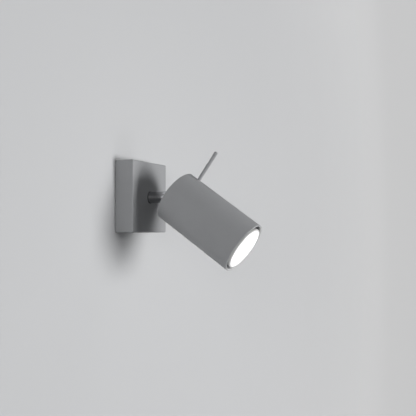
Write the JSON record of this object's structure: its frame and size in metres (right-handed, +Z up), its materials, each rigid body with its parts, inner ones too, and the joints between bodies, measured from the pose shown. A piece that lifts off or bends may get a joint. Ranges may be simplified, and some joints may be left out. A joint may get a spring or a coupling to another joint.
{
  "type": "pivoting spotlight wall light",
  "caption": "Square wall box with a short swivelling stem and a tubular spotlight head that tilts on it, with a thin handle rod and a twist-lock reflector lamp.",
  "frame": {"origin": "centre of the back face, on the wall", "axes": "+X along the wall, +Y into the wall, +Z up; the light stands out along -Y"},
  "size_m": [0.08, 0.1531, 0.1302],
  "materials": {
    "painted_steel": "matt textured powder coat, neutral grey",
    "zinc_steel": "bright zinc plated",
    "chrome": "polished dark chrome plate",
    "brass": "plain brass",
    "terminal_plastic": "natural polyamide",
    "black_plastic": "moulded black polyamide",
    "ceramic": "glazed steatite",
    "lamp_body": "light grey moulded plastic",
    "lamp_lens": "opal diffuser, lit",
    "nickel": "nickel plated",
    "board": "white solder mask",
    "sleeve": "black silicone sleeve",
    "core_insulation": "heat-resisting silicone",
    "rubber": "moulded rubber"
  },
  "bodies": {
    "box": {"cover": "painted_steel", "wall_bracket": "zinc_steel", "stiffener_plate": "zinc_steel", "stop_pin": "zinc_steel", "cover_screws": "painted_steel", "earth_washer": "brass", "earth_screw": "brass", "terminal_block": "terminal_plastic", "terminal_barrels": "brass", "terminal_screws": "zinc_steel", "block_screws": "zinc_steel", "stem_bush": "black_plastic", "box_lead": "sleeve", "box_cores": "core_insulation"},
    "stem": {"stem": "chrome", "spring_washer": "zinc_steel", "stop_washer": "zinc_steel", "stem_nut": "zinc_steel", "stem_lead": "sleeve"},
    "head": {"head_tube": "painted_steel", "rear_cup": "painted_steel", "clevis": "zinc_steel", "clevis_rivets": "zinc_steel", "pivot_screw": "zinc_steel", "cone_washer": "zinc_steel", "pivot_nut": "zinc_steel", "friction_washers": "black_plastic", "handle_rod": "painted_steel", "cup_screw": "painted_steel", "cup_nuts": "zinc_steel", "holder_bridge": "zinc_steel", "bridge_rivets": "zinc_steel", "lampholder": "ceramic", "holder_contacts": "nickel", "holder_screws": "zinc_steel", "lead_grommet": "rubber", "flex_lead": "sleeve", "head_cores": "core_insulation"},
    "lamp": {"lamp_housing": "lamp_body", "lamp_lens": "lamp_lens", "led_board": "board", "lamp_pins": "nickel"}
  },
  "joints": [
    {"name": "swivel", "type": "hinge", "parent": "box", "child": "stem", "pos_m": [0, -0.022, 0], "axis": [0, 1, 0], "range_deg": [-165, 165]},
    {"name": "tilt", "type": "hinge", "parent": "stem", "child": "head", "pos_m": [0, -0.056, 0], "axis": [1, 0, 0], "range_deg": [-70.4, 29.6], "deforming": ["flex_lead"]},
    {"name": "lamp_twist", "type": "hinge", "parent": "head", "child": "lamp", "pos_m": [0, -0.056, 0], "axis": [0, -0.8151, -0.5793], "range_deg": [0, 25]}
  ]
}
